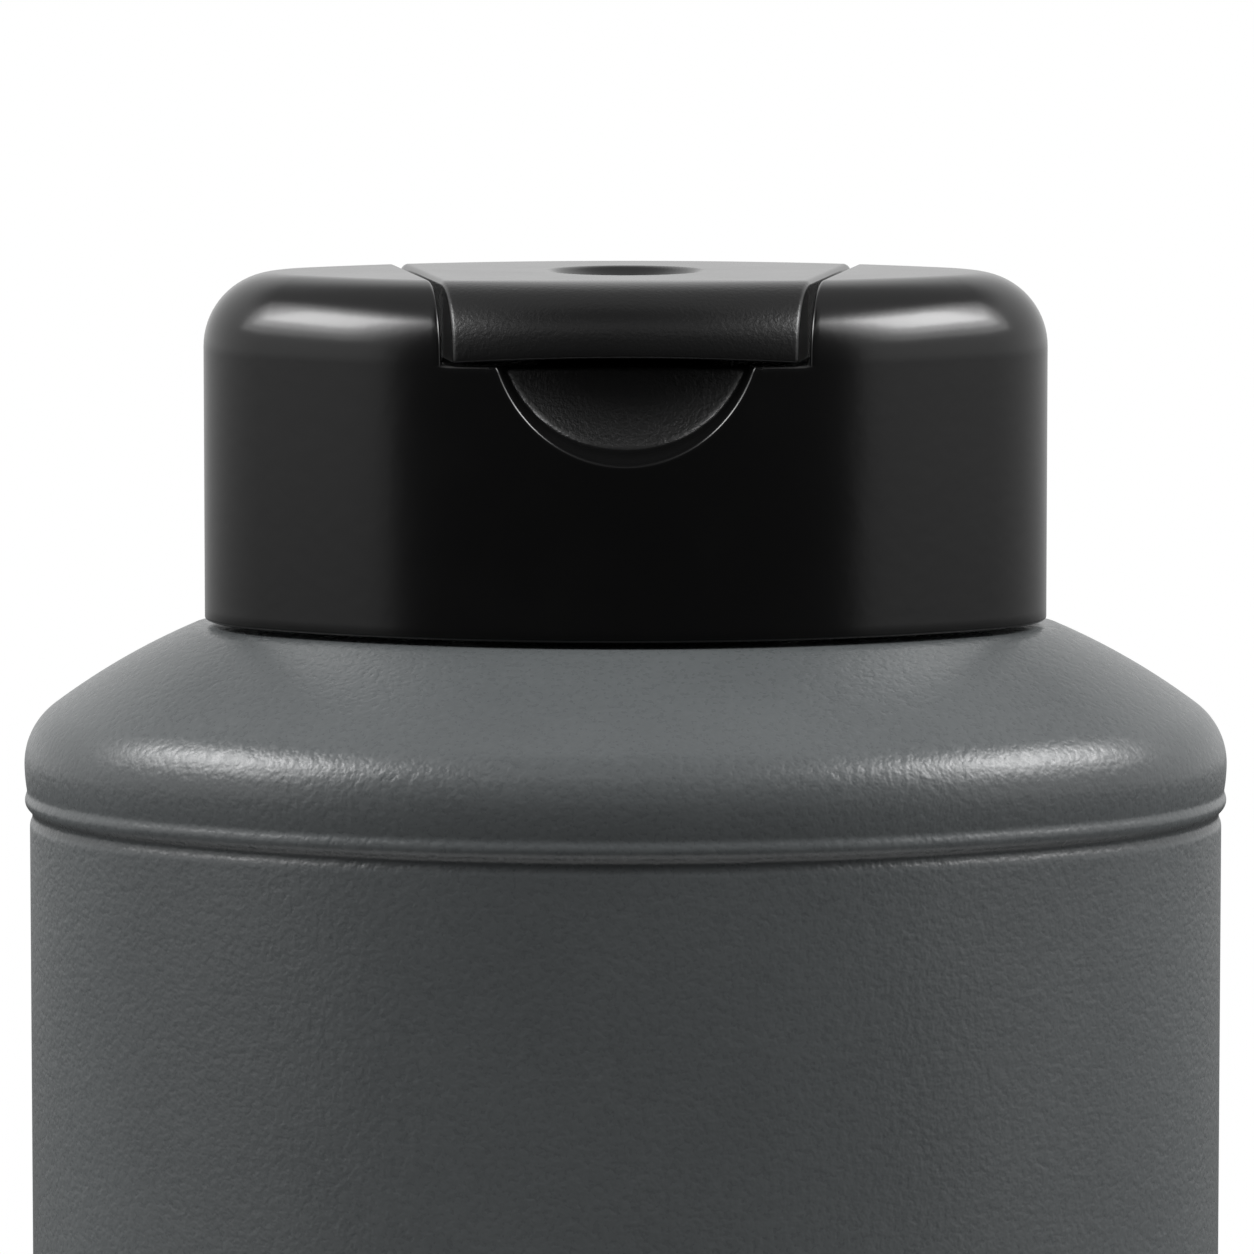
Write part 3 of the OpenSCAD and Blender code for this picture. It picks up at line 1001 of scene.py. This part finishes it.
class Wire:
    """One output socket of a shader graph, with arithmetic that adds Math nodes."""

    def __init__(self, graph: "Graph", socket: bpy.types.NodeSocket) -> None:
        """Wrap an output socket of a graph."""
        self.graph = graph
        self.socket = socket

    def math(self, operation: str, first: Value, second: Value = 0.0) -> "Wire":
        """Add a Math node and return its result."""
        node = self.graph.node("ShaderNodeMath", {"operation": operation}, {0: first, 1: second})
        return Wire(self.graph, node.outputs[0])

    def __add__(self, other: Value) -> "Wire":
        """Sum."""
        return self.math("ADD", self, other)

    def __radd__(self, other: Value) -> "Wire":
        """Sum, with the plain value first."""
        return self.math("ADD", other, self)

    def __sub__(self, other: Value) -> "Wire":
        """Difference."""
        return self.math("SUBTRACT", self, other)

    def __rsub__(self, other: Value) -> "Wire":
        """Difference, with the plain value first."""
        return self.math("SUBTRACT", other, self)

    def __mul__(self, other: Value) -> "Wire":
        """Product."""
        return self.math("MULTIPLY", self, other)

    def __rmul__(self, other: Value) -> "Wire":
        """Product, with the plain value first."""
        return self.math("MULTIPLY", other, self)

    def __truediv__(self, other: Value) -> "Wire":
        """Quotient."""
        return self.math("DIVIDE", self, other)

    def __rtruediv__(self, other: Value) -> "Wire":
        """Quotient, with the plain value first."""
        return self.math("DIVIDE", other, self)

    def __abs__(self) -> "Wire":
        """Absolute value."""
        return self.math("ABSOLUTE", self)

    def root(self) -> "Wire":
        """Square root."""
        return self.math("SQRT", self)

    def step(self, low: float, high: float) -> "Wire":
        """Smooth step: 0 at low, 1 at high, in either order."""
        node = self.graph.node("ShaderNodeMapRange", {"interpolation_type": "SMOOTHSTEP"}, {
            "Value": self, "From Min": low, "From Max": high, "To Min": 0.0, "To Max": 1.0})
        return Wire(self.graph, node.outputs["Result"])


class Graph:
    """Builds the node tree of one material or world."""

    def __init__(self, owner: Union[bpy.types.Material, bpy.types.World]) -> None:
        """Switch the owner to nodes and start with none.

        Args:
            owner: Material or world that gets the nodes.
        """
        owner.use_nodes = True
        self.tree = owner.node_tree
        self.tree.nodes.clear()

    def node(self, kind: str, settings: Optional[dict[str, Any]] = None,
             sockets: Optional[dict[Union[str, int], Any]] = None) -> bpy.types.Node:
        """Add a node: its settings first, then the values or links of its sockets.

        Args:
            kind: Type name of the node.
            settings: Attributes of the node.
            sockets: Inputs by name or number, each a Wire or a plain value.

        Returns:
            The node.
        """
        node = self.tree.nodes.new(kind)
        for name, value in (settings or {}).items():
            setattr(node, name, value)
        for name, value in (sockets or {}).items():
            if isinstance(value, Wire):
                self.tree.links.new(value.socket, node.inputs[name])
            else:
                node.inputs[name].default_value = value
        return node

    def wire(self, node: bpy.types.Node, name: Union[str, int]) -> Wire:
        """Wrap a node's output."""
        return Wire(self, node.outputs[name])

    def axes(self, vector: Wire) -> tuple[Wire, ...]:
        """X, Y and Z of a vector."""
        split = self.node("ShaderNodeSeparateXYZ", None, {0: vector})
        return tuple(self.wire(split, axis) for axis in "XYZ")

    def place(self) -> tuple[Wire, ...]:
        """Object coordinates as a vector and as X, Y and Z in metres."""
        coord = self.wire(self.node("ShaderNodeTexCoord"), "Object")
        return (coord, *self.axes(coord))

    def noise(self, coord: Wire, per_metre: float, detail: float, rough: float) -> Wire:
        """Noise from 0 to 1 over object coordinates.

        Args:
            coord: Coordinates in metres.
            per_metre: Lumps in a metre.
            detail: Octaves.
            rough: Weight of the finer octaves.

        Returns:
            The noise value.
        """
        node = self.node("ShaderNodeTexNoise", None, {
            "Vector": coord, "Scale": per_metre, "Detail": detail, "Roughness": rough})
        return self.wire(node, 0)

    def blend(self, factor: Value, first: Any, second: Any) -> Wire:
        """Mix two colours."""
        node = self.node("ShaderNodeMix", {"data_type": "RGBA"}, {"Factor": factor, 6: first, 7: second})
        return self.wire(node, 2)

    def relief(self, height: Wire, strength: float, distance: float) -> Wire:
        """Normal of the surface raised by a height through a Bump node."""
        node = self.node("ShaderNodeBump", None, {
            "Strength": strength, "Distance": distance, "Height": height})
        return self.wire(node, "Normal")

    def surface(self, sockets: dict[Union[str, int], Any]) -> None:
        """Add the Principled shader with these sockets, and the material's output."""
        shader = self.node("ShaderNodeBsdfPrincipled", None, sockets)
        self.node("ShaderNodeOutputMaterial", None, {"Surface": self.wire(shader, 0)})


@dataclass(frozen=True)
class BottlePlastic:
    """Matt grey polyethylene with the fine leathery grain of a blasted mould."""

    name: str = "grey_polyethylene"
    colour: Colour = (0.0845, 0.0912, 0.0938, 1.0)
    faded: Colour = (0.101, 0.109, 0.1115, 1.0)
    fade_from: float = 0.3
    fade_full: float = 0.75
    roughness: float = 0.30
    rough_drift: float = 0.22
    ior: float = 1.5
    fine_per_m: float = 2300.0
    pebble_per_m: float = 1050.0
    cloud_per_m: float = 55.0
    cloud_share: float = 0.6
    fine_height: float = 0.6
    pebble_height: float = 0.5
    bump: float = 0.29
    grain_height: float = 0.00022
    # Painted shade: dark colour, and how much of it, laid into the two grooves in place of the shade they
    # hold
    painted_groove_shade: Colour = (0.022, 0.024, 0.025, 1.0)
    painted_groove_shade_share: float = 0.55
    grooves_z: float = 0.0712
    grooves_apart: float = 0.0581
    groove_half: float = 0.0007
    groove_core: float = 0.0003

    def build(self) -> bpy.types.Material:
        """Grain is fine noise plus a coarser leathery pebble; colour and gloss drift with it.

        The two grooves lie grooves_apart above and below grooves_z, and have a painted shade: their colour is
        darkened to stand in for the shade that falls in the real grooves.

        Returns:
            The material.
        """
        material = bpy.data.materials.new(self.name)
        graph = Graph(material)
        coord, _, _, z = graph.place()
        fine = graph.noise(coord, self.fine_per_m, 1.0, 0.5)
        pebble = graph.noise(coord, self.pebble_per_m, 2.0, 0.5)
        cloud = graph.noise(coord, self.cloud_per_m, 3.0, 0.55)
        height = fine * self.fine_height + pebble * self.pebble_height
        patch = cloud * self.cloud_share + fine * (1.0 - self.cloud_share)
        fade = patch.step(self.fade_from, self.fade_full)
        # Mask of the painted groove shade, a band around each groove's height
        off_groove = abs(abs(z - self.grooves_z) - self.grooves_apart)
        groove = off_groove.step(self.groove_half, self.groove_core) * self.painted_groove_shade_share
        graph.surface({
            "Base Color": graph.blend(groove, graph.blend(fade, self.colour, self.faded), self.painted_groove_shade),
            "Roughness": self.roughness + (fine - 0.5) * self.rough_drift,
            "IOR": self.ior,
            "Normal": graph.relief(height, self.bump, self.grain_height),
        })
        return material


@dataclass(frozen=True)
class CapPlastic:
    """Semi-gloss black polypropylene, with a spark-eroded floor in the thumb recess."""

    name: str = "black_polypropylene"
    colour: Colour = (0.0052, 0.0052, 0.0053, 1.0)
    dusty: Colour = (0.0100, 0.0100, 0.0101, 1.0)
    floor_dust: float = 0.8
    smear_dust: float = 0.25
    smear_from: float = 0.45
    smear_full: float = 0.8
    gloss: float = 0.185
    gloss_drift: float = 0.06
    floor_gloss: float = 0.52
    lid_dull: float = 0.12
    ior: float = 1.49
    fine_per_m: float = 3600.0
    peel_per_m: float = 700.0
    smear_per_m: float = 120.0
    bump: float = 0.5
    grain_height: float = 0.00012
    floor_grain: float = 1.7
    lid_grain: float = 0.35
    peel: float = 0.10
    lid_peel: float = 0.05
    lid_texture: float = 0.0
    recess_r: float = 0.0098
    recess_z: float = 0.1654
    rim_from: float = 0.0008
    rim_full: float = 0.0013
    deck_z: float = 0.1624
    deck_from: float = 0.0001
    deck_full: float = 0.0004
    front_y: float = -0.0120
    floor_fade: float = 0.0005
    lid_fade: float = 0.003

    def build(self) -> bpy.types.Material:
        """Gloss drifts a little on the skin; the recess floor, inside its rim, is rough and grainy.

        The floor's mask is a step of the distance to the recess's axis, times steps that
        keep it in front of the deck and below it. The lid's front has a weaker grain.

        Returns:
            The material.
        """
        material = bpy.data.materials.new(self.name)
        graph = Graph(material)
        coord, x, y, z = graph.place()
        rise = z - self.recess_z
        radius = (x * x + rise * rise).root()
        floor = radius.step(self.recess_r - self.rim_from, self.recess_r - self.rim_full)
        floor = floor * y.step(self.front_y + self.floor_fade, self.front_y)
        floor = floor * z.step(self.deck_z - self.deck_from, self.deck_z - self.deck_full)
        front = y.step(self.front_y + self.lid_fade, self.front_y) * self.lid_texture
        fine = graph.noise(coord, self.fine_per_m, 2.0, 0.6)
        peel = graph.noise(coord, self.peel_per_m, 3.0, 0.5)
        smear = graph.noise(coord, self.smear_per_m, 3.0, 0.6)
        grain = fine * (floor * self.floor_grain + front * self.lid_grain)
        height = grain + peel * (self.peel + front * self.lid_peel)
        smudge = smear.step(self.smear_from, self.smear_full)
        dust = floor * self.floor_dust + smudge * self.smear_dust
        drift = self.gloss + (smear - 0.5) * self.gloss_drift
        graph.surface({
            "Base Color": graph.blend(dust, self.colour, self.dusty),
            "Roughness": drift + floor * (self.floor_gloss - self.gloss) + front * self.lid_dull,
            "IOR": self.ior,
            "Normal": graph.relief(height, self.bump, self.grain_height),
        })
        return material


@dataclass(frozen=True)
class FloorFinish:
    """Pale studio floor that fades into the white backdrop."""

    name: str = "studio_floor"
    colour: Colour = (0.62, 0.62, 0.62, 1.0)
    light: Colour = (0.68, 0.68, 0.68, 1.0)
    roughness: float = 0.9
    rough_drift: float = 0.1
    tooth_per_m: float = 900.0
    tooth_share: float = 0.5
    fade_from: float = 0.09
    fade_to: float = 0.20

    def build(self) -> bpy.types.Material:
        """Diffuse near the bottle; its alpha falls to nothing along the radius.

        Returns:
            The material.
        """
        material = bpy.data.materials.new(self.name)
        graph = Graph(material)
        coord, x, y, _ = graph.place()
        tooth = graph.noise(coord, self.tooth_per_m, 2.0, 0.5)
        graph.surface({
            "Base Color": graph.blend(tooth * self.tooth_share, self.colour, self.light),
            "Roughness": self.roughness + (tooth - 0.5) * self.rough_drift,
            "Alpha": (x * x + y * y).root().step(self.fade_to, self.fade_from),
        })
        return material


@dataclass(frozen=True)
class Softbox:
    """Rectangular area lamp aimed at the shoulder of the bottle."""

    name: str
    azimuth_deg: float
    elevation_deg: float
    width: float
    height: float
    radiance: float
    distance: float = 0.95
    aim_z: float = 0.145

    def place(self) -> None:
        """Create the lamp, turned to the bottle; its power is radiance times pi times its area."""
        lamp = bpy.data.lights.new(self.name, "AREA")
        lamp.shape = "RECTANGLE"
        lamp.size, lamp.size_y = self.width, self.height
        lamp.energy = self.radiance * math.pi * self.width * self.height
        piece = bpy.data.objects.new(self.name, lamp)
        yaw, rise = math.radians(self.azimuth_deg), math.radians(self.elevation_deg)
        away = np.array([math.sin(yaw) * math.cos(rise), -math.cos(yaw) * math.cos(rise), math.sin(rise)])
        piece.location = self.distance * away + [0.0, 0.0, self.aim_z]
        piece.rotation_euler = (math.pi / 2 - rise, 0.0, yaw)
        bpy.context.scene.collection.objects.link(piece)
        LOG.info("lamp %s", self.name)


def place_lamps(right_level: float = 1.1) -> None:
    """Hang three nested softboxes on each side, smaller and brighter inwards, and a weak one in front.

    The nesting gives the highlights on the plastic soft ends.

    Args:
        right_level: Brightness of the right side, with the left at 1.
    """
    for side, name, level in ((-1.0, "left", 1.0), (1.0, "right", right_level)):
        Softbox(f"outer_{name}", azimuth_deg=side * 78.0, elevation_deg=40.0,
                width=0.80, height=0.62, radiance=1.7 * level).place()
        Softbox(f"middle_{name}", azimuth_deg=side * 77.0, elevation_deg=42.0,
                width=0.56, height=0.42, radiance=3.4 * level, distance=0.945).place()
        Softbox(f"inner_{name}", azimuth_deg=side * 76.0, elevation_deg=44.0,
                width=0.36, height=0.24, radiance=8.6 * level, distance=0.94).place()
    Softbox("front_top", azimuth_deg=0.0, elevation_deg=52.0, width=0.90, height=0.24, radiance=0.45).place()


@dataclass(frozen=True)
class StudioWorld:
    """White backdrop for the camera; darker in front for what the plastic mirrors."""

    front: float = 0.033
    sides: float = 0.92
    back: float = 0.87
    edge: float = 0.69
    edge_soft: float = 0.012
    back_from: float = -0.55
    back_full: float = -0.95
    overhead_from: float = 0.55
    overhead_full: float = 0.8
    overhead_cut: float = 0.55
    below: float = 0.1
    below_full: float = -0.2
    least: float = 0.0001

    def build(self) -> None:
        """Level by direction: dark in front of the bottle, grey at the sides, bright behind.

        The front's edge is a step of -Y over the horizontal length of the direction.
        The level falls off overhead and below the horizon, and is 1 for the camera.
        """
        world = bpy.data.worlds.new("studio")
        bpy.context.scene.world = world
        graph = Graph(world)
        x, y, z = graph.axes(graph.wire(graph.node("ShaderNodeTexCoord"), "Generated"))
        facing = (0.0 - y) / ((x * x + y * y).root() + self.least)
        beside = facing.step(self.edge + self.edge_soft, self.edge - self.edge_soft)
        behind = facing.step(self.back_from, self.back_full)
        level = beside * (self.sides - self.front) + self.front + behind * (self.back - self.sides)
        level = level * (1.0 - z.step(self.overhead_from, self.overhead_full) * self.overhead_cut)
        level = level * (self.below + z.step(self.below_full, 0.0) * (1.0 - self.below))
        seen = graph.wire(graph.node("ShaderNodeLightPath"), "Is Camera Ray")
        backdrop = graph.node("ShaderNodeBackground", None, {
            "Color": WHITE, "Strength": level * (1.0 - seen) + seen})
        graph.node("ShaderNodeOutputWorld", None, {"Surface": graph.wire(backdrop, 0)})


@dataclass(frozen=True)
class PhotoCamera:
    """Camera at the photograph's viewing angle."""

    distance: float = 0.620
    pitch_deg: float = 6.0
    aim_x: float = 0.0001
    aim_z: float = 0.1426
    lens: float = 249.5
    sensor: float = 36.0
    clip_start: float = 0.01

    def place(self) -> None:
        """Create the camera, aim it and make it the scene's own."""
        data = bpy.data.cameras.new("photo_camera")
        data.lens = self.lens
        data.sensor_width = self.sensor
        data.sensor_fit = "HORIZONTAL"
        data.clip_start = self.clip_start
        camera = bpy.data.objects.new("photo_camera", data)
        pitch = math.radians(self.pitch_deg)
        back = np.array([0.0, -math.cos(pitch), math.sin(pitch)])
        camera.location = np.array([self.aim_x, 0.0, self.aim_z]) + self.distance * back
        camera.rotation_euler = (math.pi / 2 - pitch, 0.0, 0.0)
        bpy.context.scene.collection.objects.link(camera)
        bpy.context.scene.camera = camera


def main() -> None:
    """Build, dress and light the bottle."""
    bpy.context.scene.view_settings.view_transform = "Standard"
    PhotoCamera().place()
    bottle_form, floor_form, cap_form, lid_form = Bottle(), StudioFloor(), CapBase(), FlipLid()
    bottle = bottle_form.build()
    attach(bottle, Body.ROOT.value)
    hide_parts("bottle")
    floor = floor_form.build()
    bottle_form.dress(bottle)
    floor_form.dress(floor)
    cap = cap_form.build()
    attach(cap, Body.ROOT.value)
    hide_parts("cap_base")
    cap_form.dress(cap)
    lid = lid_form.build()
    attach(lid, Body.LID.value)
    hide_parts("flip_lid")
    lid_form.dress(lid)
    place_lamps()
    StudioWorld().build()


if __name__ == "__main__":
    main()
